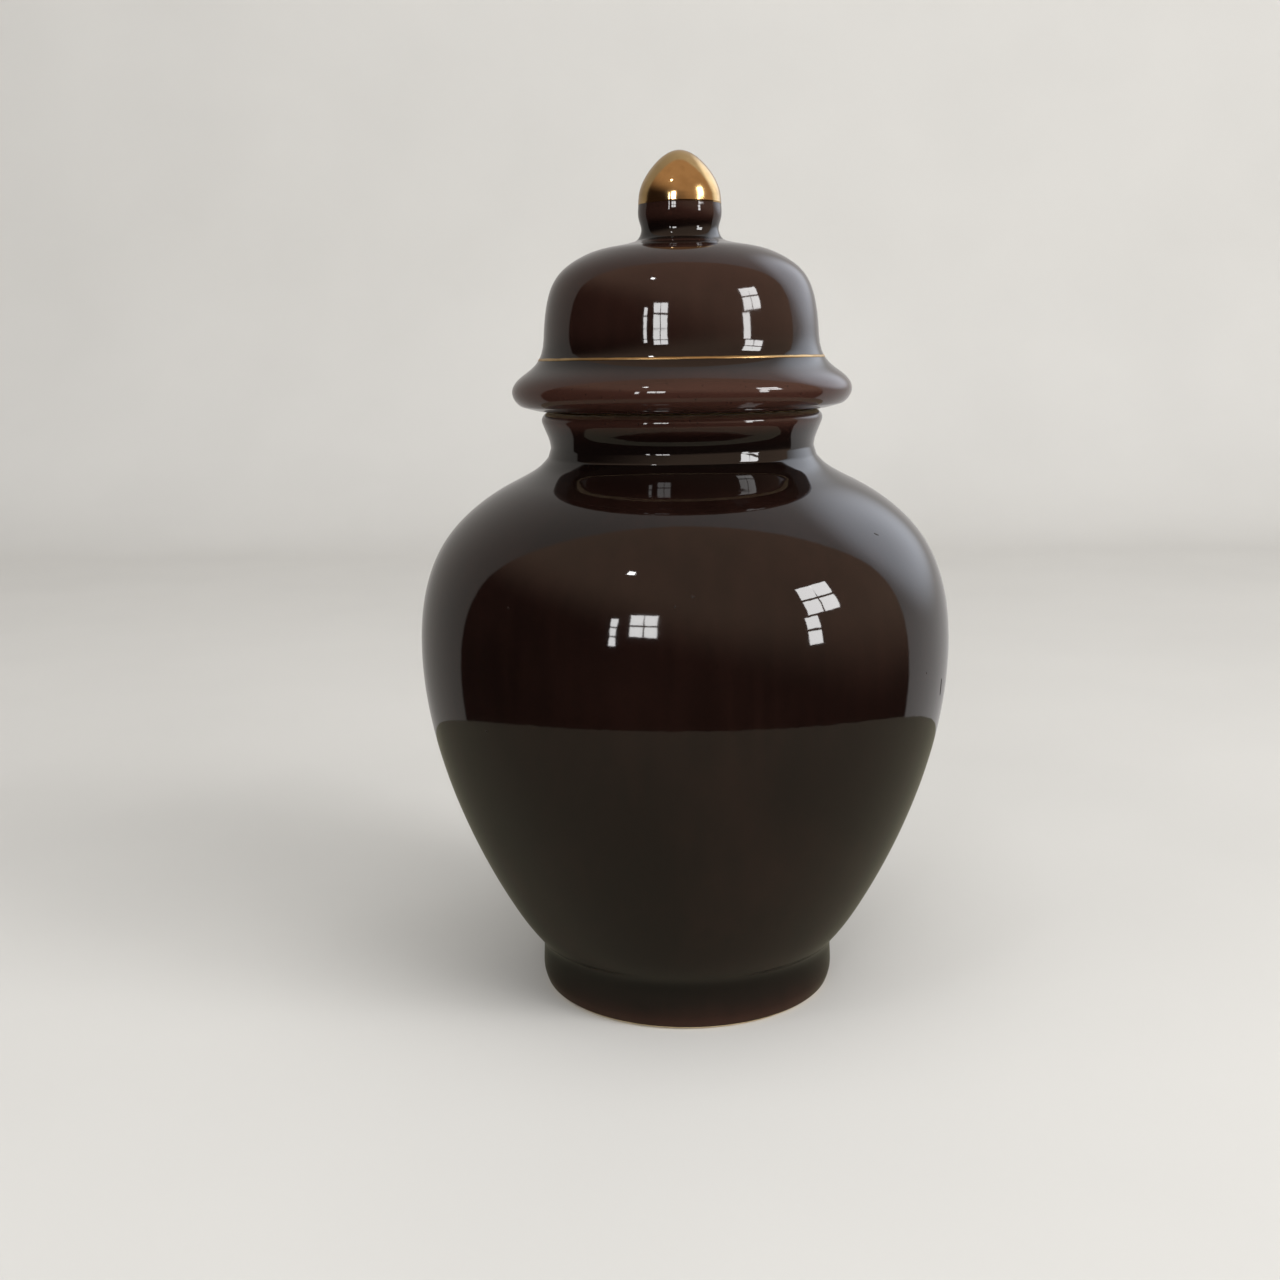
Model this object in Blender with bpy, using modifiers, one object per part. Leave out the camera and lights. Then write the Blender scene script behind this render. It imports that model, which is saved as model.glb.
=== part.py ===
"""Ginger jar: a hollow shouldered jar on a foot ring, with a loose domed lid and a gilt acorn finial.

The jar stands on the ground plane with its axis on +Z. The lid rests on the jar's lip, and lifts straight off.
Every piece is turned about that axis from an outline of (radius, height) points in millimetres.
"""

import math
from collections import namedtuple

import bpy
from mathutils import Vector

MM = 0.001

# How finely the curves are cut into flats
JAR_SIDES = 48
FINIAL_SIDES = 32
TURN_PER_STEP = 14.0
LENGTH_PER_STEP = 8.0

# Driving dimensions, in millimetres
TOTAL_HEIGHT = 200.0
BELLY_RADIUS = 63.4
BELLY_HEIGHT = 85.8
NECK_RADIUS = 31.2
NECK_HEIGHT = 132.6
LIP_RADIUS = 33.2
LIP_HEIGHT = 139.1
LIP_TOP = 141.0
MOUTH_RADIUS = 29.6
JAR_WALL = 3.6
FOOT_RADIUS = 36.2
FOOT_TOP_RADIUS = 36.05
FOOT_TOP_HEIGHT = 9.0
FOOT_RING_OUTER = 34.6
FOOT_RING_INNER = 31.2
RECESS_ROOF = 3.0
FLOOR_TOP = 7.5

LID_WALL = 3.6
FLANGE_RADIUS = 40.0
FLANGE_HEIGHT = 145.7
DOME_RADIUS = 32.9
DOME_HEIGHT = 154.5
CROWN_RADIUS = 10.4
CROWN_TOP = 179.5
COLLAR_OUTER = 26.8
COLLAR_INNER = 23.8
COLLAR_DEPTH = 6.5

FINIAL_WAIST = 9.0
FINIAL_RADIUS = 9.7
GILT_EDGE = 187.9
GILT_THICKNESS = 0.3
LINE_HEIGHT = 153.2
LINE_WIDTH = 0.7
TOUCH_GAP = 0.3

# A station is a place that an outline passes through on its way up. Lean is its slope there, in degrees
# outwards from straight up. Below and above are how far it holds that slope on either side.
Station = namedtuple("Station", "radius height lean below above")

FOOT_STATIONS = (
    Station(35.5, 0.9, 18, 0.3, 2.2),
    Station(FOOT_RADIUS, 4.5, 0, 1.6, 1.6),
    Station(FOOT_TOP_RADIUS, FOOT_TOP_HEIGHT, 2, 1.6, 1.6),
    Station(38.4, 14.1, 42.1, 2.6, 4.2),
)
BODY_STATIONS = (
    Station(38.4, 14.1, 42.1, 3.6, 4.2),
    Station(51.7, 37.3, 24.2, 12.0, 14.8),
    Station(BELLY_RADIUS, BELLY_HEIGHT, 0, 17.6, 10.8),
    Station(57.2, 110.7, -33.4, 7.1, 7.1),
    Station(41.5, 124.0, -62.9, 5.9, 4.2),
    Station(NECK_RADIUS, NECK_HEIGHT, 0, 4.0, 2.2),
)
LIP_STATIONS = (
    Station(NECK_RADIUS, NECK_HEIGHT, 0, 4.0, 2.2),
    Station(LIP_RADIUS, LIP_HEIGHT, 0, 1.2, 0.9),
)
FLANGE_STATIONS = (
    Station(37.4, 142.2, 80, 1.2, 0.9),
    Station(FLANGE_RADIUS, FLANGE_HEIGHT, 0, 1.8, 1.6),
    Station(37.3, 149.6, -53.8, 1.6, 1.4),
    Station(DOME_RADIUS, DOME_HEIGHT, -16.4, 2.6, 2.0),
)
DOME_STATIONS = (
    Station(DOME_RADIUS, DOME_HEIGHT, -16.4, 2.6, 2.0),
    Station(31.5, 165.1, -9.7, 3.1, 3.8),
    Station(27.5, 173.4, -48.4, 2.6, 2.0),
    Station(19.3, 177.8, -76.5, 3.5, 2.1),
    Station(CROWN_RADIUS, CROWN_TOP, -79, 2.4, 1.0),
)
FINIAL_STATIONS = (
    Station(CROWN_RADIUS, CROWN_TOP + TOUCH_GAP, -60, 0.4, 1.0),
    Station(FINIAL_WAIST, 182.4, 0, 1.0, 1.3),
    Station(FINIAL_RADIUS, 186.6, 0, 2.8, 3.8),
    Station(7.2, 195.1, -36.5, 2.8, 2.7),
    Station(0.0, TOTAL_HEIGHT, -90, 3.0, 0.0),
)


def heading(station):
    """The direction in which an outline passes through a station."""
    lean = math.radians(station.lean)
    return Vector((math.sin(lean), math.cos(lean)))


def bend(start, end):
    """The smooth curve from one station to the next, with as few flats as its turn and length allow."""
    first = Vector((start.radius, start.height))
    last = Vector((end.radius, end.height))
    handles = (first, first + start.above * heading(start), last - end.below * heading(end), last)

    def at(share):
        level = handles
        while len(level) > 1:
            level = [a.lerp(b, share) for a, b in zip(level, level[1:])]
        return level[0]

    fine = [at(i / 40) for i in range(41)]
    runs = [b - a for a, b in zip(fine, fine[1:])]
    turned = sum(math.degrees(a.angle(b)) for a, b in zip(runs, runs[1:]))
    length = sum(run.length for run in runs)
    steps = math.ceil(max(2, turned / TURN_PER_STEP, length / LENGTH_PER_STEP))
    return [at(i / steps) for i in range(steps + 1)]


def outline_through(stations):
    """One line of points through all the stations, going up."""
    points = [Vector((stations[0].radius, stations[0].height))]
    for start, end in zip(stations, stations[1:]):
        points += bend(start, end)[1:]
    return points


def inset(points, depth):
    """An upward outline moved inwards, square to itself. A point on the axis stays on the axis."""
    moved = []
    for before, point, after in zip(points[:1] + points, points, points[1:] + points[-1:]):
        along = (after - before).normalized() if point.x > 0 else Vector((-1, 0))
        moved.append(point + depth * Vector((-along.y, along.x)))
    return moved


def split_at(points, height):
    """The parts of an upward outline below and above a height, both with the point at that height."""
    below = [p for p in points if p.y < height]
    above = [p for p in points if p.y > height]
    share = (height - below[-1].y) / (above[0].y - below[-1].y)
    cut = below[-1].lerp(above[0], share)
    return below + [cut], [cut] + above


def place(radius, height):
    return Vector((radius, height))


def finish(name, red, green, blue, roughness, metallic=0.0):
    """A plain material, with its colour in linear values."""
    material = bpy.data.materials.new(name)
    material.use_nodes = True
    shader = material.node_tree.nodes["Principled BSDF"]
    shader.inputs["Base Color"].default_value = (red, green, blue, 1.0)
    shader.inputs["Roughness"].default_value = roughness
    shader.inputs["Metallic"].default_value = metallic
    return material


def turned_piece(name, outline, sides, material, collection, closed=False):
    """A solid turned about the axis. Its outline runs down on the outer side and up on the inner side."""
    count = len(outline)
    links = [(i, (i + 1) % count) for i in range(count if closed else count - 1)]
    mesh = bpy.data.meshes.new(name)
    mesh.from_pydata([(p.x * MM, 0.0, p.y * MM) for p in outline], links, [])
    piece = bpy.data.objects.new(name, mesh)
    collection.objects.link(piece)
    mesh.materials.append(material)
    turn = piece.modifiers.new("Turn", "SCREW")
    turn.axis = "Z"
    turn.steps = sides
    turn.render_steps = sides
    turn.use_merge_vertices = True
    turn.merge_threshold = 1e-5
    piece.data = bpy.data.meshes.new_from_object(piece.evaluated_get(bpy.context.evaluated_depsgraph_get()))
    piece.modifiers.remove(turn)
    bpy.data.meshes.remove(mesh)
    piece.data.name = name
    piece.data.shade_smooth()
    piece.data.set_sharp_from_angle(angle=math.radians(30))
    return piece


def jar_body(material, collection):
    """The hollow jar, from the floor's middle up the inside, over the lip, and down to the recess."""
    outer = outline_through(FOOT_STATIONS + BODY_STATIONS[1:] + LIP_STATIONS[1:])
    wall = inset(outline_through(BODY_STATIONS), JAR_WALL)
    floor = outline_through(
        (
            Station(0.0, FLOOR_TOP, 90, 0.0, 26.0),
            Station(wall[0].x, wall[0].y, BODY_STATIONS[0].lean, 7.0, 0.0),
        )
    )
    lip = outline_through(
        (
            Station(wall[-1].x, wall[-1].y, 0, 0.0, 2.2),
            Station(MOUTH_RADIUS, LIP_HEIGHT, 0, 2.2, 0.9),
            Station((MOUTH_RADIUS + LIP_RADIUS) / 2, LIP_TOP, 90, 0.9, 0.9),
            Station(LIP_RADIUS, LIP_HEIGHT, 180, 0.9, 0.0),
        )
    )
    underside = [
        place(FOOT_RING_OUTER, 0.0),
        place(FOOT_RING_INNER, 0.0),
        place(FOOT_RING_INNER - 0.8, 0.8),
        place(FOOT_RING_INNER - 1.2, RECESS_ROOF - 0.6),
        place(FOOT_RING_INNER - 2.0, RECESS_ROOF),
        place(0.0, RECESS_ROOF),
    ]
    outline = floor + wall[1:] + lip[1:-1] + outer[::-1] + underside
    return turned_piece("jar_body", outline, JAR_SIDES, material, collection)


def lid(material, collection):
    """The hollow lid, from the crown down the outside, round the locating ring, and up the inside."""
    seat = LIP_TOP + TOUCH_GAP
    dome = outline_through(DOME_STATIONS)
    outer = outline_through(FLANGE_STATIONS)[:-1] + dome
    ring_foot = LIP_TOP - COLLAR_DEPTH
    ring = [
        place(LIP_RADIUS + 0.8, seat),
        place(COLLAR_OUTER, seat),
        place(COLLAR_OUTER, ring_foot + 0.8),
        place(COLLAR_OUTER - 0.8, ring_foot),
        place(COLLAR_INNER + 0.8, ring_foot),
        place(COLLAR_INNER, ring_foot + 0.8),
    ]
    ceiling = inset(dome, LID_WALL)[1:]
    throat = outline_through(
        (
            Station(COLLAR_INNER, seat, 0, 0.0, 2.0),
            Station(27.4, seat + 5.5, 45, 2.0, 2.0),
            Station(ceiling[0].x, ceiling[0].y, -10, 4.0, 0.0),
        )
    )
    inner = ring + throat + ceiling[1:]
    outline = [place(0.0, CROWN_TOP)] + outer[::-1] + inner + [place(0.0, inner[-1].y)]
    return turned_piece("lid", outline, JAR_SIDES, material, collection)


def finial(material, collection):
    """The acorn knob. Above the gilt's edge it is smaller, to make room for the gilt."""
    below, above = split_at(outline_through(FINIAL_STATIONS), GILT_EDGE)
    shoulder = split_at(below, GILT_EDGE - TOUCH_GAP)[0]
    core = inset(above, GILT_THICKNESS + TOUCH_GAP)
    step = place(core[0].x, GILT_EDGE - TOUCH_GAP)
    upward = [place(0.0, CROWN_TOP + TOUCH_GAP)] + shoulder + [step] + core[1:]
    return turned_piece("finial", upward[::-1], FINIAL_SIDES, material, collection)


def gilt_tip(material, collection):
    """The gold over the finial's upper half, as a thin shell."""
    above = split_at(outline_through(FINIAL_STATIONS), GILT_EDGE)[1]
    inside = inset(above, GILT_THICKNESS)
    inside[0] = place(inside[0].x, GILT_EDGE)
    return turned_piece("gilt_tip", above[::-1] + inside, FINIAL_SIDES, material, collection)


def gilt_line(material, collection):
    """The thin gold band where the dome meets its flange."""
    wall = outline_through(FLANGE_STATIONS + DOME_STATIONS[1:])
    band = split_at(wall, LINE_HEIGHT - LINE_WIDTH / 2)[1]
    band = split_at(band, LINE_HEIGHT + LINE_WIDTH / 2)[0]
    outside = inset([band[0], band[-1]], -TOUCH_GAP - GILT_THICKNESS)
    inside = inset([band[0], band[-1]], -TOUCH_GAP)
    return turned_piece("gilt_line", outside[::-1] + inside, JAR_SIDES, material, collection, closed=True)


def main():
    for thing in list(bpy.data.objects):
        bpy.data.objects.remove(thing)
    pieces = bpy.data.collections.new("Ginger jar")
    bpy.context.scene.collection.children.link(pieces)

    glaze = finish("Oxblood glaze", 0.030, 0.008, 0.006, roughness=0.08)
    lid_glaze = finish("Oxblood glaze on the lid", 0.036, 0.010, 0.007, roughness=0.08)
    finial_glaze = finish("Oxblood glaze on the finial", 0.034, 0.010, 0.008, roughness=0.08)
    tip_gold = finish("Gold lustre on the tip", 0.62, 0.40, 0.16, roughness=0.18, metallic=1.0)
    line_gold = finish("Gold lustre line", 0.55, 0.38, 0.17, roughness=0.3, metallic=1.0)

    jar_body(glaze, pieces)
    lift = bpy.data.objects.new("lid_lift", None)
    lift.location.z = LIP_TOP * MM
    pieces.objects.link(lift)
    for piece in (
        lid(lid_glaze, pieces),
        finial(finial_glaze, pieces),
        gilt_tip(tip_gold, pieces),
        gilt_line(line_gold, pieces),
    ):
        piece.parent = lift
        piece.location.z = -LIP_TOP * MM


main()
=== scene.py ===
"""A ginger jar in oxblood glaze: its glazed, bare and gilded surfaces, and a plain studio to show it in.

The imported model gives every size. Each surface is turned again from the model's own outline, as finely as it
needs to be to carry a clean reflection, and takes its glaze, gold or clay from a procedural material.
"""

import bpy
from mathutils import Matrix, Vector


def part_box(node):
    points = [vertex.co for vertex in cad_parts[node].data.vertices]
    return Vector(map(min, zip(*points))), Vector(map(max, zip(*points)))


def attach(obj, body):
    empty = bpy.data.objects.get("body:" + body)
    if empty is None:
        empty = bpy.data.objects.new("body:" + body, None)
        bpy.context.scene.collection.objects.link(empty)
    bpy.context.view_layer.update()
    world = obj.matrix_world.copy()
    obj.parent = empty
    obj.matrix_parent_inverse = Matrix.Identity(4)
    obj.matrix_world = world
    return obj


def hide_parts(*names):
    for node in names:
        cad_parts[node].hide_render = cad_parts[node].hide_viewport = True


bl_info = {
    "name": "Ginger jar",
    "version": (1, 0, 0),
    "blender": (4, 5, 0),
    "location": "3D View > Sidebar > Ginger jar",
    "description": "Turns and glazes the pieces of a lidded ginger jar, round a packed model of it",
    "category": "Add Mesh",
}

import math

import bpy
import numpy as np
from mathutils import Euler, Matrix, Vector

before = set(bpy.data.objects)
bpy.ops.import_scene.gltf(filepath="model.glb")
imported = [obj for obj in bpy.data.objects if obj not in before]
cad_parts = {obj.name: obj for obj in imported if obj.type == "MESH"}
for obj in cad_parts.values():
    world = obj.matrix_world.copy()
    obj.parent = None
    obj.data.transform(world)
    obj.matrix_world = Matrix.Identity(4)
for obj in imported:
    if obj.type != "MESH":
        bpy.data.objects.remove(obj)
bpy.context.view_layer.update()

MM = 0.001
TOUCHING = 1e-6
THINNESS = "glaze_thinness"


# ---------------------------------------------------------------- sizes and colours


def linear(hex_colour):
    """An sRGB hex colour as linear red, green, blue and alpha."""
    shares = [int(hex_colour[i : i + 2], 16) / 255 for i in (1, 3, 5)]
    return tuple(s / 12.92 if s <= 0.04045 else ((s + 0.055) / 1.055) ** 2.4 for s in shares) + (1.0,)


def length(name, description, millimetres, low=0.0):
    """A property that holds a length."""
    return bpy.props.FloatProperty(
        name=name, description=description, default=millimetres * MM, min=low, precision=5, unit="LENGTH"
    )


def colour(name, description, hex_colour):
    """A property that holds a colour."""
    return bpy.props.FloatVectorProperty(
        name=name,
        description=description,
        default=linear(hex_colour),
        size=4,
        min=0.0,
        max=1.0,
        subtype="COLOR",
    )


def tilt(name, description, degrees, low=-180.0):
    """A property that holds an angle."""
    return bpy.props.FloatProperty(
        name=name,
        description=description,
        default=math.radians(degrees),
        min=math.radians(low),
        subtype="ANGLE",
    )


class TurningSettings(bpy.types.PropertyGroup):
    """How finely the surfaces are turned, and how true they run."""

    sides: bpy.props.IntProperty(
        name="Sides", description="Flats round the jar and the lid", default=192, min=24, max=256
    )
    finial_sides: bpy.props.IntProperty(
        name="Finial sides", description="Flats round the finial", default=96, min=24, max=256
    )
    turn_per_step: tilt("Turn per step", "The most that an outline turns from one row to the next", 4.0, 1.0)
    step: length("Longest step", "The longest row of an outline", 2.2, 0.2 * MM)
    corner: length("Corner radius", "How far glaze and fettling round a sharp corner", 0.35)
    wave: length("Casting wave", "How far a cast wall strays from a true turned surface", 0.05)
    wave_size: length("Wave size", "Distance from one wave in a cast wall to the next", 34.0, MM)
    seed: bpy.props.IntProperty(name="Seed", description="Which waves, runs and flaws come out", default=7)


class GlazeSettings(bpy.types.PropertyGroup):
    """Where the glaze ends, and its colours from thick to thin."""

    foot_edge: length("Edge at the foot", "Height at which the glaze stops above the foot ring", 0.9)
    edge_roll: length("Rolled edge", "Thickness of the glaze where it stops", 0.22)
    skirt: length("Skirt of the finial", "How far the glaze spreads on the lid round the finial", 2.6)
    pooled: colour("Pooled", "The glaze where it lies thickest", "#0A0605")
    sound: colour("Sound", "The glaze over most of the jar", "#110806")
    thin: colour("Thin", "The glaze where it runs off an edge and the clay warms it", "#35201A")
    lid_thinner: bpy.props.FloatProperty(
        name="Lid thinner",
        description="How much thinner the glaze lies on the lid",
        default=0.35,
        min=0.0,
        max=1.0,
    )
    flaws: bpy.props.IntProperty(
        name="Flaws", description="Iron specks that came through the glaze of the jar", default=9, min=0
    )
    flaw_size: length("Flaw size", "Length of the largest iron speck", 0.9)


class GildingSettings(bpy.types.PropertyGroup):
    """The fired gold on the finial and round the lid."""

    film: length("Film", "Thickness of the gold, drawn many times its real few thousandths", 0.05)
    line_width: length("Line width", "Width of the brushed line round the lid", 0.64)
    wander: length("Wander", "How far the brush strays along an edge", 0.14)
    wander_size: length("Wander size", "Distance from one stray of the brush to the next", 3.0, MM)
    gold: colour("Gold", "Fired gold where it lies sound", "#CFAE7A")
    worn: colour("Worn gold", "Fired gold where it is rubbed", "#AD8C5C")


class ClaySettings(bpy.types.PropertyGroup):
    """The bare clay of the foot ring and the locating ring."""

    body: colour("Clay", "The fired clay body", "#D9C6A2")
    stain: colour("Stain", "Clay that years of standing have darkened", "#A08862")


class StudioSettings(bpy.types.PropertyGroup):
    """The camera, and the floor that it and the glaze see."""

    distance: length("Camera distance", "From the jar's axis, along the floor", 352.43, 50 * MM)
    height: length("Camera height", "Above the floor", 153.53)
    pitch: tilt("Pitch", "How far the camera looks down", 10.927)
    yaw: tilt("Yaw", "How far it looks left of the axis", 1.742)
    roll: tilt("Roll", "How far it leans to the right", 0.880)
    lens: bpy.props.FloatProperty(
        name="Lens", description="Focal length on a 36 mm frame, in millimetres", default=41.27, min=10.0
    )
    table: length("Table", "Radius of the floor that shows in the glaze", 240.0)
    paper: colour("Sweep", "The painted floor and backdrop", "#D2D0CC")
    mirrored: colour("Table", "The floor as the glaze mirrors it", "#7F7C6C")


# ---------------------------------------------------------------- building nodes


def add(tree, kind, inputs=None, **settings):
    """Adds a node. Inputs gives each socket, by name or number, its value or what feeds it: an output, or a
    node by its first output."""
    node = tree.nodes.new(kind)
    for name, value in settings.items():
        setattr(node, name, value)
    for socket, value in (inputs or {}).items():
        if isinstance(value, bpy.types.Node):
            value = value.outputs[0]
        if isinstance(value, bpy.types.NodeSocket):
            tree.links.new(value, node.inputs[socket])
        else:
            node.inputs[socket].default_value = value
    return node


def new_tree(name, inputs, output="Geometry", kind="Geometry"):
    """A geometry node tree with the named inputs and one output. Returns the tree and its inputs."""
    tree = bpy.data.node_groups.new(name, "GeometryNodeTree")
    tree.interface.new_socket(output, in_out="OUTPUT", socket_type=f"NodeSocket{kind}")
    for socket, held in inputs.items():
        tree.interface.new_socket(socket, in_out="INPUT", socket_type=f"NodeSocket{held}")
    return tree, add(tree, "NodeGroupInput").outputs


def end_tree(tree, geometry, material):
    """Ends a tree: smooth faces, no instances, one material."""
    smooth = add(tree, "GeometryNodeSetShadeSmooth", {"Geometry": geometry})
    real = add(tree, "GeometryNodeRealizeInstances", {"Geometry": smooth})
    coated = add(tree, "GeometryNodeSetMaterial", {"Geometry": real, "Material": material})
    add(tree, "NodeGroupOutput", {0: coated})


WAVE_INPUTS = {"Wave": "Float", "Wave Size": "Float", "Seed": "Int"}


def wave_tree():
    """How a cast wall strays: an offset along the normal, the same for every surface at the same place."""
    name = "Casting wave"
    if name in bpy.data.node_groups:
        return bpy.data.node_groups[name]
    tree, given = new_tree(name, {"Place": "Vector", **WAVE_INPUTS}, "Offset", "Vector")
    finer = add(tree, "ShaderNodeMath", {0: 1.0, 1: given["Wave Size"]}, operation="DIVIDE")
    noise = add(
        tree,
        "ShaderNodeTexNoise",
        {"Vector": given["Place"], "W": given["Seed"], "Scale": finer, "Detail": 1.0},
        noise_dimensions="4D",
    )
    centred = add(tree, "ShaderNodeMath", {0: noise.outputs["Fac"], 1: 0.5}, operation="SUBTRACT")
    reach = add(tree, "ShaderNodeMath", {0: centred, 1: given["Wave"]}, operation="MULTIPLY")
    doubled = add(tree, "ShaderNodeMath", {0: reach, 1: 2.0}, operation="MULTIPLY")
    normal = add(tree, "GeometryNodeInputNormal")
    offset = add(tree, "ShaderNodeVectorMath", {0: normal, "Scale": doubled}, operation="SCALE")
    add(tree, "NodeGroupOutput", {0: offset})
    return tree


def cast(tree, given, geometry):
    """Lets a surface stray as a cast wall does, by the tree's own inputs."""
    inputs = {name: given[name] for name in WAVE_INPUTS}
    inputs["Place"] = add(tree, "GeometryNodeInputPosition")
    stray = add(tree, "GeometryNodeGroup", inputs, node_tree=wave_tree())
    return add(tree, "GeometryNodeSetPosition", {"Geometry": geometry, "Offset": stray})


def turning_tree():
    """Turns an outline that stands on the XZ plane about the Z axis, and lets the wall stray a little."""
    name = "Turned piece"
    if name in bpy.data.node_groups:
        return bpy.data.node_groups[name]
    inputs = {"Outline": "Geometry", "Sides": "Int", **WAVE_INPUTS, "Material": "Material"}
    tree, given = new_tree(name, inputs)
    axis_radius = 0.5 * TOUCHING
    outline = add(tree, "GeometryNodeMeshToCurve", {"Mesh": given["Outline"]})
    upright = Euler((math.radians(90), 0, 0))
    laid = add(tree, "GeometryNodeTransform", {"Geometry": outline, "Rotation": upright})
    circle = {"Resolution": given["Sides"], "Radius": axis_radius}
    axis = add(tree, "GeometryNodeCurvePrimitiveCircle", circle)
    turned = add(tree, "GeometryNodeCurveToMesh", {"Curve": axis, "Profile Curve": laid})
    closed = add(tree, "GeometryNodeMergeByDistance", {"Geometry": turned, "Distance": 4 * TOUCHING})
    end_tree(tree, cast(tree, given, closed), given["Material"])
    return tree


def gilding_tree():
    """Lays a closed film on a turned surface, between two places along its outline, with brushed edges."""
    name = "Brushed gilding"
    if name in bpy.data.node_groups:
        return bpy.data.node_groups[name]
    tree, given = new_tree(
        name,
        {
            "Outline": "Geometry",
            "Sides": "Int",
            "Rows": "Int",
            "Start": "Float",
            "Width": "Float",
            "Film": "Float",
            "Wander": "Float",
            "Wander Size": "Float",
            **WAVE_INPUTS,
            "Material": "Material",
        },
    )
    outline = add(tree, "GeometryNodeMeshToCurve", {"Mesh": given["Outline"]})
    columns = add(tree, "ShaderNodeMath", {0: given["Sides"], 1: 1.0}, operation="ADD")
    grid = {"Size X": 1.0, "Size Y": 1.0, "Vertices X": columns, "Vertices Y": given["Rows"]}
    sheet = add(tree, "GeometryNodeMeshGrid", grid)
    place = add(tree, "GeometryNodeInputPosition")
    shares = add(tree, "ShaderNodeSeparateXYZ", {0: place})
    angle = add(tree, "ShaderNodeMath", {0: shares.outputs["X"], 1: math.tau}, operation="MULTIPLY")
    down = add(tree, "ShaderNodeMath", {0: shares.outputs["Y"], 1: 0.5}, operation="ADD")
    cosine = add(tree, "ShaderNodeMath", {0: angle}, operation="COSINE")
    sine = add(tree, "ShaderNodeMath", {0: angle}, operation="SINE")
    across = add(tree, "ShaderNodeMath", {0: down, 1: given["Width"]}, operation="MULTIPLY")
    along = add(tree, "ShaderNodeMath", {0: across, 1: given["Start"]}, operation="ADD")

    # The brush strays by the same amount at the same angle, however finely the film is divided
    around = add(tree, "ShaderNodeCombineXYZ", {"X": cosine, "Y": sine})
    reach = add(tree, "GeometryNodeSampleCurve", {"Curves": outline, "Length": along}, mode="LENGTH")
    reached = add(tree, "ShaderNodeSeparateXYZ", {0: reach.outputs["Position"]})
    circle = add(tree, "ShaderNodeVectorMath", {0: around, "Scale": reached.outputs["X"]}, operation="SCALE")
    finer = add(tree, "ShaderNodeMath", {0: 1.0, 1: given["Wander Size"]}, operation="DIVIDE")
    each_edge = add(tree, "ShaderNodeMath", {0: down, 1: 3.0, 2: given["Seed"]}, operation="MULTIPLY_ADD")
    brush = add(
        tree,
        "ShaderNodeTexNoise",
        {"Vector": circle, "W": each_edge, "Scale": finer, "Detail": 2.0},
        noise_dimensions="4D",
    )
    centred = add(tree, "ShaderNodeMath", {0: brush.outputs["Fac"], 1: 0.5}, operation="SUBTRACT")
    doubled = add(tree, "ShaderNodeMath", {0: centred, 1: 2.0}, operation="MULTIPLY")
    strayed = add(tree, "ShaderNodeMath", {0: doubled, 1: given["Wander"]}, operation="MULTIPLY")
    off_pole = add(
        tree,
        "ShaderNodeMapRange",
        {"Value": along, "From Min": 0.0, "From Max": given["Wander Size"]},
        interpolation_type="SMOOTHSTEP",
    )
    held = add(tree, "ShaderNodeMath", {0: strayed, 1: off_pole}, operation="MULTIPLY")
    brushed = add(tree, "ShaderNodeMath", {0: along, 1: held}, operation="ADD")
    touched = add(tree, "GeometryNodeSampleCurve", {"Curves": outline, "Length": brushed}, mode="LENGTH")
    spot = add(tree, "ShaderNodeSeparateXYZ", {0: touched.outputs["Position"]})
    east = add(tree, "ShaderNodeMath", {0: spot.outputs["X"], 1: cosine}, operation="MULTIPLY")
    north = add(tree, "ShaderNodeMath", {0: spot.outputs["X"], 1: sine}, operation="MULTIPLY")
    laid_place = add(tree, "ShaderNodeCombineXYZ", {"X": east, "Y": north, "Z": spot.outputs["Z"]})
    laid = add(tree, "GeometryNodeSetPosition", {"Geometry": sheet, "Position": laid_place})
    joined = add(tree, "GeometryNodeMergeByDistance", {"Geometry": laid, "Distance": TOUCHING})
    outward = add(tree, "GeometryNodeFlipFaces", {"Mesh": joined})
    under = cast(tree, given, outward)
    thickening = {"Mesh": under, "Offset Scale": given["Film"], "Individual": False}
    raised = add(tree, "GeometryNodeExtrudeMesh", thickening)
    back = add(tree, "GeometryNodeFlipFaces", {"Mesh": under})
    both = add(tree, "GeometryNodeJoinGeometry")
    for part in (raised, back):
        tree.links.new(part.outputs["Mesh"], both.inputs[0])
    shell = add(tree, "GeometryNodeMergeByDistance", {"Geometry": both, "Distance": TOUCHING})
    end_tree(tree, shell, given["Material"])
    return tree


def flaw_tree():
    """Sets a flat bead on each place, turned and sized as the place's own attributes say."""
    name = "Iron specks"
    if name in bpy.data.node_groups:
        return bpy.data.node_groups[name]
    tree, given = new_tree(name, {"Places": "Geometry", "Bead Steps": "Int", "Material": "Material"})
    turn = add(tree, "GeometryNodeInputNamedAttribute", {"Name": "turn"}, data_type="FLOAT_VECTOR")
    size = add(tree, "GeometryNodeInputNamedAttribute", {"Name": "size"}, data_type="FLOAT_VECTOR")
    points = add(tree, "GeometryNodeMeshToPoints", {"Mesh": given["Places"]})
    bead = add(tree, "GeometryNodeMeshIcoSphere", {"Radius": 0.5, "Subdivisions": given["Bead Steps"]})
    beads = add(
        tree,
        "GeometryNodeInstanceOnPoints",
        {
            "Points": points,
            "Instance": bead.outputs["Mesh"],
            "Rotation": turn.outputs["Attribute"],
            "Scale": size.outputs["Attribute"],
        },
    )
    end_tree(tree, beads, given["Material"])
    return tree


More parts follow.
